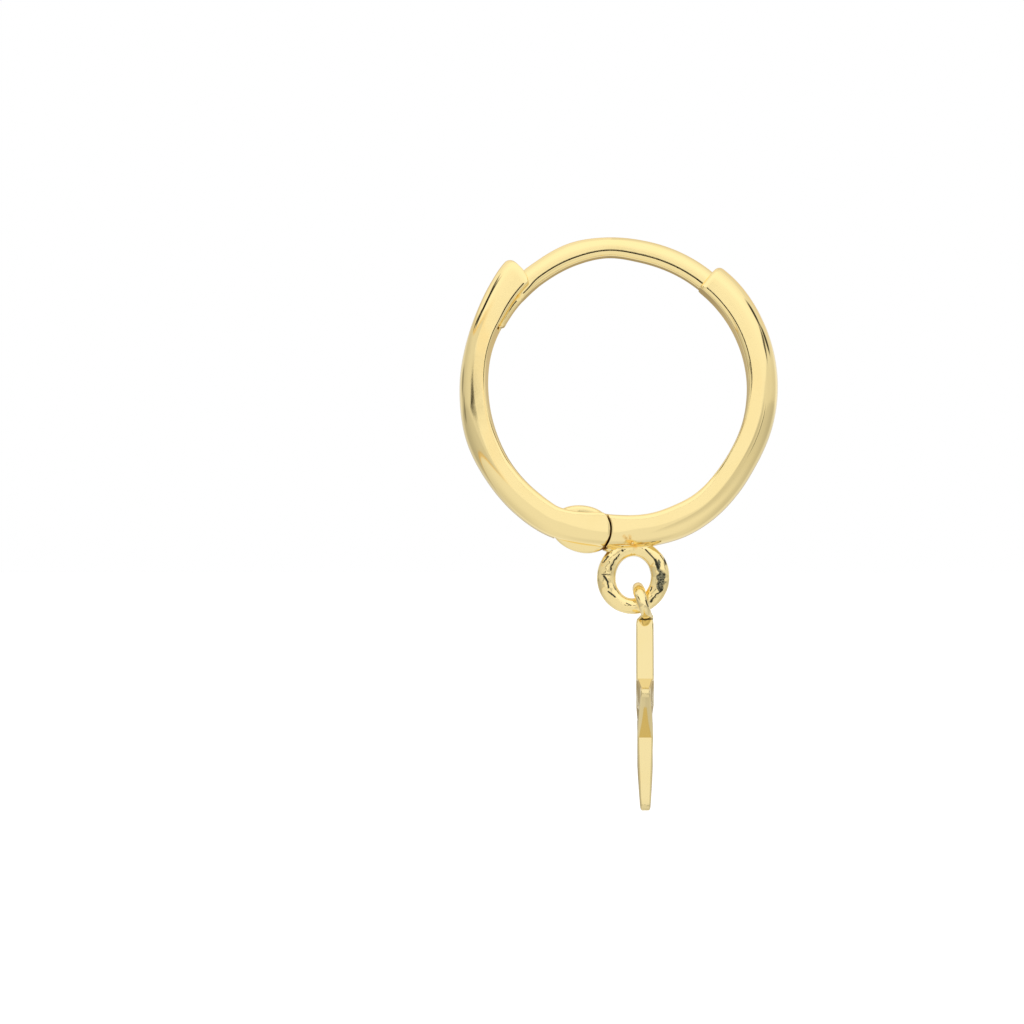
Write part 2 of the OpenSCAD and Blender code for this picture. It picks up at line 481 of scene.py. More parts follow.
# Where the hoop's hand-finished metal lies: angle, inner radius, outer radius, size of the
# inner edge's round and of its lead
WIRE_RADII = ((40, 4.785, 5.59, 0.155, 0.085), (62, 4.77, 5.585, 0.155, 0.085),
              (80, 4.80, 5.595, 0.155, 0.085), (94, 4.91, 5.65, 0.15, 0.085),
              (108, 4.885, 5.715, 0.15, 0.085), (122, 4.84, 5.645, 0.155, 0.085),
              (127, 4.838, 5.64, 0.14, 0.08), (132, 4.835, 5.63, 0.08, 0.07),
              (142, 4.83, 5.62, 0.08, 0.065), (147, 4.825, 5.615, 0.075, 0.004),
              (160, 4.82, 5.61, 0.08, 0.004))
WIRE_HALF_RADII = ((250, 4.73, 6.07, 0.12, 0.004), (262, 4.73, 6.05, 0.12, 0.004),
                   (268, 4.76, 6.03, 0.14, 0.004), (275, 4.81, 6.04, 0.16, 0.004),
                   (285, 4.88, 6.09, 0.17, 0.004), (295, 4.90, 6.14, 0.17, 0.004),
                   (306, 4.935, 6.11, 0.17, 0.004), (320, 4.87, 6.01, 0.1, 0.004),
                   (330, 4.85, 5.95, 0.05, 0.004), (345, 4.875, 5.97, 0.04, 0.004),
                   (354, 4.875, 5.98, 0.06, 0.01), (364, 4.87, 5.98, 0.10, 0.05),
                   (382, 4.83, 5.97, 0.13, 0.06), (400, 4.79, 5.965, 0.12, 0.06),
                   (412, 4.765, 5.90, 0.10, 0.06))
LATCH_HALF_RADII = ((128, 5.10, 6.35, 0.045, 0.075), (134, 5.06, 6.27, 0.045, 0.075),
                    (140, 5.02, 6.15, 0.04, 0.075), (145, 4.98, 6.065, 0.04, 0.07),
                    (150, 4.96, 5.99, 0.03, 0.06), (157, 4.965, 5.925, 0.03, 0.055),
                    (165, 4.95, 5.895, 0.03, 0.05), (175, 4.90, 5.897, 0.04, 0.04),
                    (185, 4.86, 5.915, 0.06, 0.004), (200, 4.84, 5.99, 0.1, 0.004),
                    (215, 4.87, 6.005, 0.15, 0.004), (232, 4.905, 6.085, 0.17, 0.004),
                    (239, 4.94, 6.12, 0.16, 0.004), (244, 4.97, 6.13, 0.14, 0.004),
                    (250, 4.91, 6.11, 0.12, 0.004), (256, 4.81, 6.07, 0.11, 0.004),
                    (263, 4.72, 6.03, 0.1, 0.004))


def side_at(angle, inner, side):
    """The height of the flat side, which is more beside the hinge, to cover the pin."""
    near = within_one(2 - abs(angle - PIN_A) / math.radians(12))
    return side + max(0.0, PIN_COVER - inner - side) * eased(near)


def band_row(angle, h, drawn=0.0, width=None, at=None):
    """A row of the wire half's band, set at an angle or along a curve."""
    inner, outer, edge, lead = along(WIRE_HALF_RADII, angle)
    width = (width or h.width) - 2 * drawn
    outline = crowned(inner, outer - drawn, width, side_at(angle, inner, h.side),
                      min(edge, width / 3), lead, h.squareness)
    return ring(outline, at or angle)


def wire_row(angle, h, width, drawn=0.0):
    """A row of the ear wire."""
    inner, outer, edge, lead = along(WIRE_RADII, angle)
    width -= 2 * drawn
    return ring(crowned(inner + drawn, outer - drawn, width, h.wire_side,
                        min(edge, width / 3), lead), angle)


def ear_wire_rows(h):
    """The ear wire, from its rounded tip to the shoulder."""
    ends = [(h.tip_a - away / BAND_MIDDLE, drawn) for away, drawn in rounding(h.tip_round, 5)]
    rows = [wire_row(a, h, h.tongue_width, drawn) for a, drawn in ends]
    slope = math.radians(3)
    rows += [wire_row(a, h, h.tongue_width) for a in spread(ends[-1][0], h.notch_a + slope, 20)]
    for part in spread(0.0, 1.0, 6):
        width = h.tongue_width + (h.wire_width - h.tongue_width) * eased(part)
        rows.append(wire_row(h.notch_a + slope * (1 - part), h, width))
    return rows + [wire_row(a, h, h.wire_width) for a in spread(h.notch_a, h.shoulder_a, 110)]


def wire_half_body(h, latch):
    rows = ear_wire_rows(h)
    shoulder_a = h.shoulder_a + math.tau
    rows += [band_row(shoulder_a - away / BAND_MIDDLE, h, drawn)
             for away, drawn in rounding(h.shoulder_round, 6)]
    reach = past_pin(latch.seat)
    first = shoulder_a - h.shoulder_round / BAND_MIDDLE
    last = PIN_A + reach(BAND_MIDDLE) + math.radians(3)
    rows += [band_row(a, h) for a in spread(first, last, 190)]

    def beyond_seat(r, away):
        return PIN_A + reach(r) + away / BAND_MIDDLE

    for part in spread(0.0, 1.0, 7):
        def towards(r, part=part):
            return last + (beyond_seat(r, latch.seat_round) - last) * part
        rows.append(band_row(towards(BAND_MIDDLE), h, at=towards))
    for away, drawn in reversed(list(rounding(latch.seat_round, 3))[:-1]):
        def at_end(r, away=away):
            return beyond_seat(r, away)
        rows.append(band_row(PIN_A + reach(BAND_MIDDLE), h, drawn, at=at_end))
    return skin("ear_wire_half", rows)


def barrel(name, ahead, behind, half, width, rim, turned=0.0):
    """A barrel round the pin, drawn out along the band, with rounded rims."""
    a = PIN_A + turned
    forward = Vector((-math.sin(a), 0, math.cos(a)))
    outward = Vector((math.cos(a), 0, math.sin(a)))
    side = [(away - width / 2, drawn) for away, drawn in rounding(rim, 6)]
    rows = []
    for y, drawn in side + [(-y, drawn) for y, drawn in reversed(side)]:
        row = []
        for i in range(96):
            on, out = math.cos(math.tau * i / 96), math.sin(math.tau * i / 96)
            reach = ahead if on > 0 else behind
            row.append(PIN + forward * on * (reach - drawn) + outward * out * (half - drawn)
                       + Vector((0, y, 0)))
        rows.append(row)
    return skin(name, rows, FLAT_ENDS)


def hinge_tongue(h, latch):
    """The knuckle round the pin and the narrow neck that carries it."""
    tongue = barrel("tongue", latch.knuckle, latch.heel, latch.tongue, latch.tongue_width,
                    latch.knuckle_round)
    reach = past_pin(latch.seat)(BAND_MIDDLE)
    rows = [band_row(a, h, 0.02, latch.neck_width)
            for a in spread(PIN_A, PIN_A + reach + math.radians(3), 24)]
    boolean(tongue, skin("neck", rows), "UNION")
    return tongue


LOOP_FULLNESS = 2.5


def fullness(u, v, power):
    """Draws a circle out to a fuller round."""
    return (abs(u) ** power + abs(v) ** power) ** (-1 / power)


TORUS_WIRE = 0.3


def torus(name, segments):
    """A ring, and for each of its vertices the turn and the place in the wire, from -1 to 1."""
    deselect()
    bpy.ops.mesh.primitive_torus_add(major_segments=128, minor_segments=segments,
                                     major_radius=1, minor_radius=TORUS_WIRE)
    obj = named(name)
    turns = []
    for vertex in obj.data.vertices:
        x, y, z = vertex.co
        out = Vector((math.hypot(x, y) - 1, z)) / TORUS_WIRE
        turns.append((vertex, math.atan2(y, x), out))
    return obj, turns


def loop_shape(c):
    """The charm loop: a hand-made ring, taller than wide, with thick and flattened sides."""
    obj, turns = torus("charm_loop", 48)
    centre = LOOP + Vector((-0.05, 0, -0.025))
    for vertex, a, out in turns:
        full = fullness(out.x, out.y, LOOP_FULLNESS)
        thick = c.loop_wire + (c.loop_foot - c.loop_wire) * math.sin(a) ** 2
        lean = 0.02 * math.sin(a)
        path = Vector((c.loop_half_width * math.cos(a) + lean, 0,
                       c.loop_half_height * math.sin(a)))
        along_out = Vector((math.cos(a), 0, math.sin(a)))
        vertex.co = (centre + path + along_out * out.x * full * thick
                     + Vector((0, out.y * full * c.loop_width / 2, 0)))
    return obj


# Beads of solder between the loop, the band and the knuckle: place from the loop's middle
# and half sizes
BEADS = (((0.62, 0.0, 0.92), (0.24, 0.22, 0.16)),
         ((-0.72, 0.0, 0.98), (0.26, 0.24, 0.15)),
         ((-0.98, 0.0, 1.03), (0.24, 0.22, 0.10)),
         ((0.0, 0.0, 0.90), (0.55, 0.24, 0.14)))
# Drops of solder that ran up the band's side
DROPS = (((-0.31, -0.735, 1.44), (0.04, 0.03, 0.1)),
         ((-0.16, -0.735, 1.43), (0.03, 0.03, 0.08)),
         ((-0.07, -0.655, 1.24), (0.05, 0.035, 0.05)))


def solder_beads(sizes):
    beads = []
    for place, size in sizes:
        deselect()
        bpy.ops.mesh.primitive_ico_sphere_add(subdivisions=4, radius=1, scale=size,
                                              location=LOOP + Vector(place))
        beads.append(named("bead"))
    return beads


def lumps(obj, height, size, centre, near, far):
    """Hand-soldered lumps, which fade out between two distances from a place."""
    obj.data.update()
    normals = [vertex.normal.copy() for vertex in obj.data.vertices]
    for vertex, normal in zip(obj.data.vertices, normals):
        away = (vertex.co - centre).length
        fade = within_one((far - away) / (far - near))
        lump = noise.fractal(vertex.co / size, 1.0, 2.0, 3)
        vertex.co += normal * (lump * height * fade)


def make_wire_half():
    h = in_mm(settings().hoop)
    latch = in_mm(settings().latch)
    c = in_mm(settings().charm)
    body = wire_half_body(h, latch)
    tongue = hinge_tongue(h, latch)
    boolean(body, tongue, "UNION")
    boolean(body, cylinder_at(PIN, latch.pin, latch.pin_length, "pin_bore"), "DIFFERENCE")
    loop_a = math.atan2(LOOP.z - HOOP.z, LOOP.x - HOOP.x) + math.tau
    rows = [band_row(a, h, 0.035)
            for a in spread(loop_a - math.radians(6), loop_a + math.radians(12), 24)]
    loop = joined(loop_shape(c), skin("stub", rows), *solder_beads(BEADS))
    melted(loop, 0.024, 14)
    lumps(loop, c.loop_lump, 0.5, LOOP, 1.25, 1.5)
    loop = joined(loop, *solder_beads(DROPS))
    boolean(body, loop, "UNION")
    return body


def latch_rows(h, latch):
    """The latch half, from its tip to the ends of the hinge cheeks."""
    top = along(WIRE_RADII, latch.end_a)[1] + latch.gap
    channel_width = h.wire_width + 2 * latch.gap

    def outline(a, drawn_out=0.0, drawn_in=0.0, open_channel=False):
        inner, outer, edge, lead = along(LATCH_HALF_RADII, a)
        inner += drawn_in
        near_tip = within_one((math.radians(167) - a) / math.radians(17))
        side = side_at(a, inner, h.side + (latch.tip_side - h.side) * near_tip)
        squareness = h.squareness + (latch.tip_squareness - h.squareness) * near_tip
        inside = channel(inner, top, channel_width, inner + 0.12) if open_channel else None
        return crowned(inner, outer - drawn_out, h.width - drawn_out * 0.6, side, edge, lead,
                       squareness, inside)

    rows = []
    steps = 12
    for i in range(steps + 1):
        away = latch.tip_round * (1 - math.cos(math.pi / 2 * i / steps))
        a = latch.end_a + away / LATCH_MIDDLE
        drawn_out = latch.tip_round - math.sqrt(max(0.0, latch.tip_round ** 2
                                                    - (latch.tip_round - away) ** 2))
        left = max(0.0, 1 - away / latch.mouth_run)
        drawn_in = latch.mouth_rise * (1 - math.sqrt(1 - left * left))

        def leaning(r, a=a, lean=latch.nose * (1 - i / steps)):
            return a + lean * abs(r - LATCH_MIDDLE)
        rows.append(ring(outline(a, drawn_out, drawn_in, True), leaning))
    first = latch.end_a + latch.tip_round / LATCH_MIDDLE
    rows += [ring(outline(a, 0, 0, True), a) for a in spread(first, latch.channel_a, 50)]
    rows += [ring(outline(a), a) for a in spread(latch.channel_a + 0.0005, PIN_A, 150)]
    reach = past_pin(latch.cheek)
    end_part = 1 - latch.cheek_round / latch.cheek
    for part in spread(0.0, end_part, 24):
        def towards(r, part=part):
            return PIN_A + reach(r) * part
        rows.append(ring(outline(towards(PIN_PATH)), towards))
    for away, drawn in reversed(list(rounding(latch.cheek_round, 6))[:-1]):
        def at_end(r, away=away):
            return PIN_A + reach(r) * (1 - away / latch.cheek)
        rows.append(ring(outline(at_end(PIN_PATH), drawn, drawn), at_end))
    return rows


def make_latch_half():
    h = in_mm(settings().hoop)
    latch = in_mm(settings().latch)
    body = skin("hinged_half", latch_rows(h, latch), (True, False))
    slot_width = latch.tongue_width + 2 * latch.hinge_gap
    gap = latch.hinge_gap
    # The slot leaves room for the tongue all the way as the latch half opens
    for turned in spread(OPENING / 6, -OPENING, 7):
        slot = barrel("slot", latch.knuckle + gap, latch.heel + gap, latch.tongue + gap,
                      slot_width, gap, turned)
        boolean(body, slot, "DIFFERENCE")
    deselect()
    reach = 1.5
    ahead = Vector((-math.sin(PIN_A), 0, math.cos(PIN_A)))
    bpy.ops.mesh.primitive_cube_add(size=1, location=PIN + ahead * reach / 2,
                                    rotation=(0, math.pi / 2 - PIN_A, 0),
                                    scale=(reach, slot_width, 2 * reach))
    boolean(body, named("mouth"), "DIFFERENCE")
    boolean(body, cylinder_at(PIN, latch.pin, latch.pin_length, "pin_bore"), "DIFFERENCE")
    return body


ARM_POINTS = 10
EDGE_POINTS = 10


def star_arm(c):
    """One arm of the star's outline from its point to the next arm's, as polar places."""
    path = (c.star_width / 2 - c.star_round) / math.cos(math.radians(18))
    corner = Vector((c.star_waist * math.cos(math.radians(36)),
                     c.star_waist * math.sin(math.radians(36))))
    reach = path - corner.x
    half_angle = (math.atan2(corner.y, reach)
                  - math.asin(c.star_round / math.hypot(reach, corner.y)))
    point = []
    for i in range(ARM_POINTS + 1):
        a = (math.pi / 2 - half_angle) * (2 * i / ARM_POINTS - 1)
        point.append(Vector((path + c.star_round * math.cos(a), c.star_round * math.sin(a))))
    down = [point[-1].lerp(corner, part) for part in spread(0, 1, EDGE_POINTS)]
    up = [Vector((p.x, -p.y)) for p in reversed(down[:-1])]
    return point + down, up, path + c.star_round


def star_outline(c):
    """The star's outline, as pairs of place across and height, and its reach."""
    arm, up, reach = star_arm(c)
    outline = []
    for k in range(5):
        turned = Matrix.Rotation(math.radians(90 + 72 * k), 2)
        outline += [turned @ p for p in up + arm]
    top = reach - c.star_cut
    return [(v, min(u, top)) for v, u in outline], reach


def nearest_edge(outline):
    """How far the star's straight edges run from its middle."""
    first, last = outline[EDGE_POINTS + ARM_POINTS], outline[2 * EDGE_POINTS + ARM_POINTS - 2]
    area = abs(first[0] * last[1] - first[1] * last[0])
    return area / math.dist(first, last)


LEAN = (SWING - LOOP).normalized()
# Half the thickness of the frame's bail wire, on which the star's height depends
FRAME_BAIL = 0.205


def star_top(c):
    """The middle of the star's cut top."""
    foot = SWING + LEAN * (c.bail_clear + c.bail_radius)
    return Vector((foot.x - c.star_shift, 0, foot.z - FRAME_BAIL + c.star_sink))


def make_star_charm():
    c = in_mm(settings().charm)
    bail = SWING + LEAN * c.bail_clear
    outline, reach = star_outline(c)
    top = star_top(c)
    middle = top - Vector((0, 0, reach - c.star_cut))
    side = nearest_edge(outline)

    def half_thick(v, u):
        away = math.hypot(v, u)
        part = within_one((away - c.star_flat) / (reach - c.star_flat))
        if u > c.star_waist * 0.8:
            part = 0.0
        return (c.star_thick + (c.star_tip - c.star_thick) * part) / 2

    front = [(0.3, 0.0), (0.5, 0.0), (0.7, 0.0), (0.85, 0.0)]
    edge = c.star_edge
    for i in range(7):
        a = math.pi / 2 * i / 6
        front.append((1 - edge / side * (1 - math.sin(a)), edge * (1 - math.cos(a))))
    rows = []
    for scale, drop in front:
        rows.append([middle + Vector((half_thick(v, u) - drop, v * scale, u * scale))
                     for v, u in outline])
    for scale, drop in reversed(front):
        rows.append([middle + Vector((drop - half_thick(v, u), v * scale, u * scale))
                     for v, u in outline])
    star = skin("star_drop", rows, FLAT_ENDS)

    solder = joined(bail_shape(c, bail), star_neck(c, top, bail + LEAN * c.bail_reach))
    melted(solder, 0.018, 5)
    lumps(solder, 0.005, 0.3, top, 0.9, 1.6)
    boolean(star, solder, "UNION")
    return star


def bail_shape(c, centre):
    """The bail: a flattened ring, narrow at its foot and with an arched top."""
    obj, turns = torus("bail", 40)
    across = Vector((0, 1, 0))
    axis = LEAN.cross(across)
    for vertex, a, out in turns:
        upper = 0.5 - 0.5 * math.cos(a)
        full = fullness(out.x, out.y, LOOP_FULLNESS - 0.4 * upper)
        width = c.bail_foot + (c.bail_top - c.bail_foot) * upper
        width *= 1 - 0.25 * max(0.0, -math.cos(a)) ** 6 - 0.14 * math.sin(a) ** 2
        thick = out.x * full * c.bail_wire / 2 * (1 - 0.4 * max(0.0, math.cos(a)) ** 2)
        along_lean = c.bail_reach if math.cos(a) > 0 else c.bail_radius
        vertex.co = (centre + LEAN * math.cos(a) * (along_lean + thick)
                     + across * math.sin(a) * (c.bail_radius + thick)
                     + axis * out.y * full * width / 2)
    return obj


def star_neck(c, top, foot):
    """The neck that tapers from the star's cut point up into the bail."""
    rows = []
    half = c.star_thick / 2 - 0.02
    slant = LEAN.x / LEAN.z
    height = foot.z + 0.03 - top.z
    for part in spread(-0.4, 1.0, 12):
        on = within_one(part)
        z = top.z + height * part
        bail_x = foot.x + slant * (z - foot.z)
        x = top.x + (bail_x - top.x) * on
        wide = half + (c.bail_foot / 2 + 0.03 - half) * on
        deep = 0.165 + 0.2 * on
        outline = []
        for i in range(40):
            a = math.tau * i / 40
            u, v = math.cos(a), math.sin(a)
            full = fullness(u, v, 4)
            outline.append(Vector((x + u * full * wide, v * full * deep, z)))
        rows.append(outline)
    return skin("neck", rows, FLAT_ENDS)


# Materials

class Value:
    """A node socket whose arithmetic adds Math nodes."""

    def __init__(self, board, socket):
        self.board = board
        self.socket = socket

    def math(self, operation, *others):
        inputs = {i: v for i, v in enumerate((self, *others))}
        node = self.board.add("ShaderNodeMath", {"operation": operation}, inputs)
        return Value(self.board, node.outputs[0])

    def __add__(self, other):
        return self.math("ADD", other)

    def __radd__(self, other):
        return self.math("ADD", other)

    def __sub__(self, other):
        return self.math("SUBTRACT", other)

    def __rsub__(self, other):
        return (self * -1).math("ADD", other)

    def __mul__(self, other):
        return self.math("MULTIPLY", other)

    def __rmul__(self, other):
        return self.math("MULTIPLY", other)

    def __neg__(self):
        return self * -1

    def step(self, low, high):
        """Rises smoothly from 0 at low to 1 at high."""
        node = self.board.add("ShaderNodeMapRange",
                              {"interpolation_type": "SMOOTHSTEP", "clamp": True},
                              {"Value": self, "From Min": low, "From Max": high})
        return Value(self.board, node.outputs["Result"])

    def root(self):
        return self.math("MAXIMUM", 0.0).math("POWER", 0.5)


def spot(u, v, middle, size, soft=0.35):
    """1 inside an ellipse of a plane, with a soft edge."""
    across = (u - middle[0]) * (1 / size[0])
    up = (v - middle[1]) * (1 / size[1])
    return 1 - (across * across + up * up).root().step(1 - soft, 1 + soft)


def stroke(u, v, first, last, half, soft):
    """1 along a stroke between two places of a plane, with soft edges."""
    du, dv = last[0] - first[0], last[1] - first[1]
    size = du * du + dv * dv
    part = (u - first[0]) * (du / size) + (v - first[1]) * (dv / size)
    part = part.math("MAXIMUM", 0.0).math("MINIMUM", 1.0)
    across = u - first[0] - part * du
    up = v - first[1] - part * dv
    return 1 - (across * across + up * up).root().step(half - soft, half + soft)


def most(masks):
    """The highest of some masks."""
    highest = masks[0]
    for mask in masks[1:]:
        highest = highest.math("MAXIMUM", mask)
    return highest


class Board:
    """A node tree to which one method adds every node."""

    def __init__(self, tree):
        self.tree = tree
        tree.nodes.clear()

    def add(self, kind, values=None, inputs=None):
        node = self.tree.nodes.new(kind)
        for name, value in (values or {}).items():
            setattr(node, name, value)
        for name, value in (inputs or {}).items():
            if isinstance(value, Value):
                self.tree.links.new(value.socket, node.inputs[name])
            elif isinstance(value, bpy.types.NodeSocket):
                self.tree.links.new(value, node.inputs[name])
            else:
                node.inputs[name].default_value = value
        return node

    def value(self, node, output=0):
        return Value(self, node.outputs[output])

    def axes(self, place):
        """The three parts of a place."""
        parts = self.add("ShaderNodeSeparateXYZ", {}, {"Vector": place})
        return [self.value(parts, axis) for axis in "XYZ"]

    def surface(self, inputs):
        """Ends the tree in one shader with these inputs."""
        shader = self.add("ShaderNodeBsdfPrincipled", {}, inputs)
        self.add("ShaderNodeOutputMaterial", {}, {"Surface": shader.outputs["BSDF"]})

    def mix(self, factor, first, second):
        node = self.add("ShaderNodeMix", {"data_type": "RGBA"},
                        {"Factor": factor, "A": first, "B": second})
        return node.outputs["Result"]


# Painted reflections of dark surroundings in the loop's lumpy front, as strokes in millimetres
# from the loop's middle: x and z of both ends, and half the width
PAINTED_REFLECTIONS = (((-0.553, 0.819), (-0.767, 0.587), 0.028), ((-0.767, 0.587), (-0.857, 0.373), 0.034),
         ((-0.857, 0.373), (-0.875, 0.245), 0.026), ((-0.444, 0.973), (-0.43, 0.955), 0.04),
         ((-1.198, 0.066), (-0.913, 0.084), 0.016), ((-1.127, 0.013), (-0.984, -0.2), 0.036),
         ((-0.984, -0.2), (-0.965, -0.418), 0.032), ((-0.965, -0.561), (-0.733, -0.741), 0.03),
         ((-0.302, -0.992), (-0.14, -1.063), 0.018), ((0.415, 0.999), (0.775, 0.62), 0.026),
         ((0.775, 0.62), (0.86, 0.36), 0.05), ((1.097, 0.729), (1.168, 0.478), 0.026),
         ((1.026, -0.49), (0.737, -0.741), 0.034), ((0.737, -0.741), (0.595, -0.936), 0.026))
# The patch of fire scale, as spots: middle and half sizes
PATCH = (((0.915, 0.33), (0.085, 0.3)), ((0.99, -0.08), (0.17, 0.3)),
         ((0.95, -0.4), (0.11, 0.16)))
# Strokes of deeper coloured solder on the band
WARM = (((-0.39, 1.5), (-0.08, 1.21), 0.06), ((-0.17, 1.5), (-0.155, 1.29), 0.05),
        ((-0.08, 1.21), (0.05, 1.09), 0.065))
WORN_SCALE = (0.3, 0.28, 0.17, 1.0)
DEEP_SOLDER = (0.95, 0.64, 0.23, 1.0)
# Painted shade in the hinge gap: a dark brownish gold
PAINTED_GAP_SHADE = (0.34, 0.18, 0.045, 1.0)


def noise_value(board, place, scale, detail):
    node = board.add("ShaderNodeTexNoise", {}, {"Vector": place, "Scale": scale,
                                                "Detail": detail})
    return board.value(node, "Fac")


def measured_from(board, place, centre):
    """How far a place lies from a centre, in millimetres along each axis."""
    return [part * MM - at for part, at in zip(board.axes(place), centre)]


def gap_shade(x, y, z):
    """Painted shade: 1 in the gap between the two halves at the hinge, and on the neck in its depth."""
    ahead = z * math.cos(PIN_A) - x * math.sin(PIN_A)
    across = (x * math.cos(PIN_A) + z * math.sin(PIN_A)).math("ABSOLUTE")
    from_middle = y.math("ABSOLUTE")
    away = (ahead * ahead + across * across).root()
    deep = (1 - from_middle.step(0.29, 0.33)) * away.step(0.95, 0.98) * (1 - away.step(1.1, 1.14))
    deep = deep * (1 - across.step(0.55, 0.65))
    walls = (1 - from_middle.step(0.7, 0.76)) * away.step(0.955, 0.97)
    walls = walls * (1 - away.step(1.045, 1.06)) * (1 - across.step(0.6, 0.8))
    return deep.math("MAXIMUM", walls) * ahead.step(0.3, 0.4)


def loop_marks(board, place, grain, metal):
    """Painted dark reflections, fire scale and deep solder on and above the charm loop, and painted shade in the
    hinge gap.
    """
    finish = settings().finish
    x, y, z = measured_from(board, place, LOOP)
    ragged = (grain - 0.5) * 0.12
    front = (-y).step(0.02, 0.1)
    # Painted reflections: dark strokes that stand in for dark surroundings mirrored in the loop
    painted_reflection = front * most([stroke(x + ragged, z - ragged, first, last, half, 0.014)
                         for first, last, half in PAINTED_REFLECTIONS])
    blown = (noise_value(board, place, 5200.0, 1.0) - 0.5) * 0.3
    patch = front * most([spot(x + blown, z - blown, middle, size, 0.15)
                          for middle, size in PATCH])
    warm = front * most([stroke(x + ragged, z - ragged, first, last, half, 0.045)
                         for first, last, half in WARM])
    near = 1 - (x * x + y * y + z * z).root().step(1.25, 1.6)
    speckle = noise_value(board, place, 16000.0, 2.0)
    dull = board.mix(speckle.step(0.4, 0.62), (*finish.fire_scale_and_reflection, 1.0), WORN_SCALE)
    tint = board.mix(warm * 0.8, metal["tint"], DEEP_SOLDER)
    tint = board.mix(patch, tint, dull)
    metal["tint"] = board.mix(painted_reflection, tint, (*finish.fire_scale_and_reflection, 1.0))
    # Painted shade in the gap at the hinge, where the two halves meet
    gap = gap_shade(*measured_from(board, place, PIN))
    metal["tint"] = board.mix(gap, metal["tint"], PAINTED_GAP_SHADE)
    metal["roughness"] = metal["roughness"] + near * 0.03 + patch * 0.2 + gap * 0.3
    metal["height"] = metal["height"] + near * speckle * 0.008 - painted_reflection * 0.25 - patch * 0.1


def seam_mark(board, place, grain, metal):
    """The dark line where the bail's neck meets the star, partly a solder seam and partly a painted reflection,
    and the brighter bail above it.
    """
    finish = settings().finish
    top = star_top(in_mm(settings().charm))
    x, y, z = measured_from(board, place, top)
    bend = x * x * 0.3
    bail = (z - bend).step(-0.02, 0.03)
    # Painted reflection: the dark line that the crease between neck and star would mirror, laid along the solder
    # seam
    seam_and_reflection = stroke(x, z - bend, (-0.17, -0.01), (0.29, 0.0), 0.016, 0.014) * (-y).step(0.05, 0.1)
    slit = stroke(x, z, (0.03, 0.72), (0.12, 0.5), 0.022, 0.018) * (-y).step(0.3, 0.45)
    tint = board.mix(bail, metal["tint"], (*finish.bail_gold, 1.0))
    metal["tint"] = board.mix(most([seam_and_reflection * 0.9, slit]), tint, (*finish.fire_scale_and_reflection, 1.0))
    metal["height"] = metal["height"] - seam_and_reflection * 0.3


def new_material(name):
    """A material and the board for its nodes."""
    material = bpy.data.materials.new(name)
    material.use_nodes = True
    return material, Board(material.node_tree)


def polished_gold(name, rgb, polish, marks):
    """High-polish gold with faint waviness and fine polishing marks."""
    material, board = new_material(name)
    place = board.add("ShaderNodeTexCoord").outputs["Object"]
    clouds = noise_value(board, place, 900.0, 3.0)
    waves = noise_value(board, place, 420.0, 2.0)
    grain = noise_value(board, place, 9000.0, 4.0)
    stretched = board.add("ShaderNodeMapping", {}, {
        "Vector": place, "Rotation": (0.3, 0.2, 0.7), "Scale": (1500.0, 26000.0, 26000.0)})
    rub = noise_value(board, stretched.outputs[0], 1.0, 2.0)
    deeper = (rgb[0], rgb[1] * 0.985, rgb[2] * 0.93, 1.0)
    metal = {"tint": board.mix(clouds.step(0.45, 0.75) * 0.5, (*rgb, 1.0), deeper),
             "roughness": clouds * 0.06 + rub * 0.03 + (polish - 0.045),
             "height": waves + grain * 0.02 + rub * 0.012}
    marks(board, place, grain, metal)
    bump = board.add("ShaderNodeBump", {}, {"Strength": 0.25, "Distance": 0.00002,
                                            "Height": metal["height"]})
    board.surface({"Base Color": metal["tint"], "Metallic": 1.0,
                   "Roughness": metal["roughness"], "Normal": bump.outputs["Normal"]})
    return material


# The stage

# Dark things round the light tent, as azimuth from the camera's side and elevation in degrees
LENS = ((-0.5, 5.8), (2.5, 2.5))
DARK_SPOTS = (((-47, 24), (12.5, 5.4), 0.97), ((84, 32.5), (12, 5.4), 0.95),
              ((93, 22.5), (12, 5.4), 0.92), ((-92, -2), (10, 4.5), 0.45),
              ((-110, 7), (13, 4.5), 0.45), ((12, 1), (7, 2.2), 0.25))
DARK_STROKES = (((-33, 20), (-46, 24), 2.0, 0.96), ((-50, 23.5), (-84, 23.5), 2.0, 0.93),
                ((-45, 27), (-68, 36), 2.2, 0.92), ((52, 15.5), (74, 25), 2.7, 0.9),
                ((-5.6, 4.8), (-20, 2.2), 0.7, 0.95), ((-20, 2.2), (-30, 0.8), 0.5, 0.6),
                ((30, -1), (26.5, -7), 1.6, 0.95))


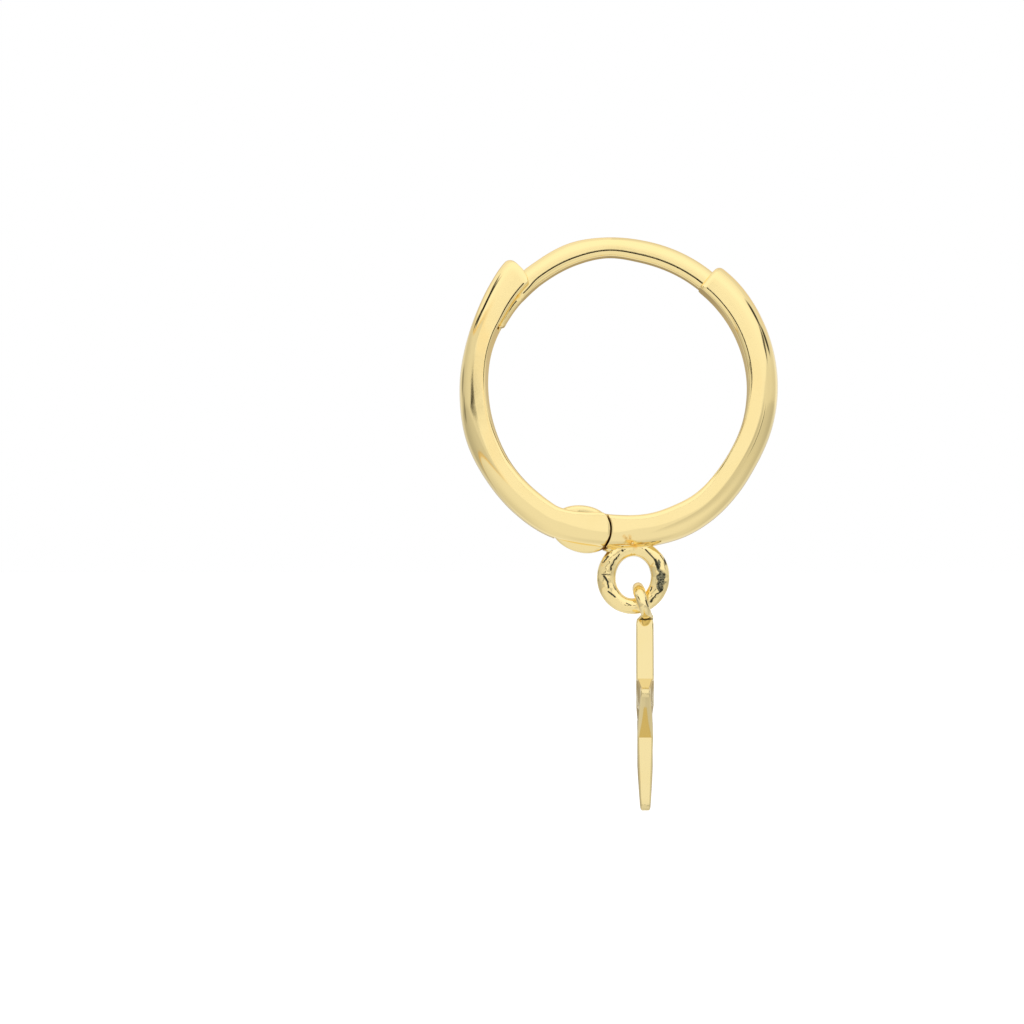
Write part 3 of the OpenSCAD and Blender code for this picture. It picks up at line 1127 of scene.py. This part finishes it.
def studio_world():
    """A light tent: bright above and before the hoop, darker at the sides, warm behind."""
    world = bpy.data.worlds.new("light_tent")
    world.use_nodes = True
    bpy.context.scene.world = world
    board = Board(world.node_tree)
    place = board.add("ShaderNodeTexCoord").outputs["Generated"]
    x, y, z = board.axes(place)
    degrees = 180 / math.pi
    turn = x.math("ARCTAN2", -y) * degrees
    rise = z.math("ARCSINE") * degrees
    aside = turn.math("ABSOLUTE")

    light = rise.step(-2.5, 0.5) * 0.12 + rise.step(5, 30) * 0.11 + 0.88
    light = light - aside.step(20, 110) * (1 - (-rise).step(40, 70)) * 0.17
    light = light - turn.step(30, 90) * (1 - rise.step(-10, 5)) * 0.07
    light = light - (-rise).step(58, 84) * 0.12
    away = (-y).math("ARCCOSINE") * degrees
    light = light + away.step(112, 132) * (1 - rise.step(5, 25)) * 0.2

    # The dim wall at the left, between two warm edges
    left = -turn
    wall_top = (left - 4).root() * 1.9 + 5
    wall_foot = (left - 4).math("MAXIMUM", 0.0).math("POWER", 0.58) * -2.1 + 4
    soft = left.math("MAXIMUM", 0.0) * 0.02 + 0.3
    below_top = (wall_top - rise) * soft.math("POWER", -1.0)
    above_foot = (rise - wall_foot) * soft.math("POWER", -1.0)
    wall = below_top.step(-1, 1) * above_foot.step(-1, 1) * left.step(5.2, 7.5)
    light = light - wall * 0.22
    rims = (spot(below_top * soft, left, (0, 60), (0.9, 56), 0.3)
            + spot(above_foot * soft, left, (0, 62), (1.1, 54), 0.3)).math("MINIMUM", 1.0)

    # The dimmer side at the right
    curve = turn.math("MAXIMUM", 0.0).math("POWER", 1.75) * 0.012 + 3.5
    dim = (curve - rise).step(-0.6, 0.8) * turn.step(4.2, 7) * rise.step(-36, -6)
    light = light - dim * (1 - turn.step(40, 75) * 0.4) * 0.19

    for middle, size, depth in DARK_SPOTS:
        light = light * (1 - spot(turn, rise, middle, size) * depth)
    for first, last, half, depth in DARK_STROKES:
        light = light * (1 - stroke(turn, rise, first, last, half, half * 0.7) * depth)
    light = light * (1 - spot(turn, rise, *LENS, 0.15) * 0.97)

    peach = away.step(110, 140) * rise.step(8, 25)
    behind = away.step(158, 168)
    light = light - behind * 0.3
    tint = board.mix(peach, (1, 1, 1, 1), (1.0, 0.87, 0.68, 1))
    tint = board.mix(behind, tint, (1.0, 0.82, 0.48, 1))
    tint = board.mix(rims * 0.8, tint, (1.0, 0.74, 0.36, 1))
    camera_ray = board.add("ShaderNodeLightPath").outputs["Is Camera Ray"]
    tent = board.add("ShaderNodeBackground", {}, {"Color": tint, "Strength": light})
    seen = board.add("ShaderNodeBackground", {}, {"Color": (1, 1, 1, 1), "Strength": 1.0})
    shown = board.add("ShaderNodeMixShader", {}, {0: camera_ray, 1: tent.outputs[0],
                                                  2: seen.outputs[0]})
    board.add("ShaderNodeOutputWorld", {}, {"Surface": shown.outputs[0]})


PHOTO_SIZE = 1024
PIXEL = 0.0375
HOOP_PIXEL = (616.9, 387.9)
EYE_PIXEL = (636.0, 560.0)
EYE_DISTANCE = 2000


def photo_point(pixel):
    """The place in the hoop's plane under a pixel of the photograph, in metres."""
    x = HOOP.x + (pixel[0] - HOOP_PIXEL[0]) * PIXEL
    z = HOOP.z - (pixel[1] - HOOP_PIXEL[1]) * PIXEL
    return Vector((x, 0, z)) / MM


def make_camera():
    eye = photo_point(EYE_PIXEL) + Vector((0, -EYE_DISTANCE * PIXEL / MM, 0))
    aim = photo_point((PHOTO_SIZE / 2, PHOTO_SIZE / 2))
    bpy.ops.object.camera_add(location=eye)
    camera = bpy.context.object
    camera.name = "camera"
    camera.rotation_euler = (aim - eye).to_track_quat("-Z", "Y").to_euler()
    camera.data.sensor_width = 36
    camera.data.lens = 36 * (aim - eye).length / (PHOTO_SIZE * PIXEL / MM)
    camera.data.clip_start = 0.001
    camera.data.clip_end = 10
    camera.data.dof.use_dof = False
    bpy.context.scene.camera = camera


def make_floor():
    bpy.ops.mesh.primitive_plane_add(size=6, location=(0, 0, CAD_BOX[0].z - 0.012))
    floor = bpy.context.object
    floor.name = "floor"
    material, board = new_material("pale_floor")
    board.surface({"Base Color": (*settings().finish.floor, 1.0), "Roughness": 0.9,
                   "Emission Color": (1, 1, 1, 1), "Emission Strength": 0.3})
    floor.data.materials.append(material)
    floor.visible_glossy = False


class EARRING_OT_wire_half(bpy.types.Operator):
    """Model the half of the hoop with the ear wire and the charm loop"""
    bl_idname = "earring.wire_half"
    bl_label = "Wire Half"

    def execute(self, context):
        obj = make_wire_half()
        finish = settings().finish
        material = polished_gold("hoop_polish", finish.gold, finish.polish, loop_marks)
        finish_piece(obj, "hoop", ["wire_half"], material)
        return {"FINISHED"}


class EARRING_OT_latch_half(bpy.types.Operator):
    """Model the latch half of the hoop"""
    bl_idname = "earring.latch_half"
    bl_label = "Latch Half"

    def execute(self, context):
        obj = make_latch_half()
        material = bpy.data.materials["hoop_polish"]
        finish_piece(obj, "latch", ["latch_half"], material)
        return {"FINISHED"}


class EARRING_OT_star_charm(bpy.types.Operator):
    """Model the star with its bail"""
    bl_idname = "earring.star_charm"
    bl_label = "Star Charm"

    def execute(self, context):
        obj = make_star_charm()
        finish = settings().finish
        material = polished_gold("star_polish", finish.star_gold, finish.polish, seam_mark)
        finish_piece(obj, "charm", ["star_charm"], material)
        return {"FINISHED"}


class EARRING_OT_studio(bpy.types.Operator):
    """Set up the camera, the floor and the light"""
    bl_idname = "earring.studio"
    bl_label = "Studio"

    def execute(self, context):
        make_camera()
        make_floor()
        studio_world()
        context.scene.view_settings.view_transform = "Standard"
        return {"FINISHED"}


class EARRING_PT_panel(bpy.types.Panel):
    """The earring's steps and sizes"""
    bl_idname = "EARRING_PT_panel"
    bl_label = "Hoop Charm Earring"
    bl_space_type = "VIEW_3D"
    bl_region_type = "UI"
    bl_category = "Earring"

    def draw(self, context):
        for step in STEPS:
            self.layout.operator(step.bl_idname)


STEPS = (EARRING_OT_wire_half, EARRING_OT_latch_half, EARRING_OT_star_charm,
         EARRING_OT_studio)
CLASSES = (HoopSizes, LatchSizes, CharmSizes, Finish, EarringSettings, *STEPS, EARRING_PT_panel)


def register():
    for item in CLASSES:
        bpy.utils.register_class(item)
    bpy.types.Scene.earring = PointerProperty(type=EarringSettings)


def unregister():
    del bpy.types.Scene.earring
    for item in reversed(CLASSES):
        bpy.utils.unregister_class(item)


def main():
    register()
    bpy.ops.earring.wire_half()
    bpy.ops.earring.latch_half()
    bpy.ops.earring.star_charm()
    bpy.ops.earring.studio()
    gold = bpy.data.materials["hoop_polish"]
    for obj in frame["nodes"].values():
        obj.data.materials.clear()
        obj.data.materials.append(gold)


if __name__ == "__main__":
    main()
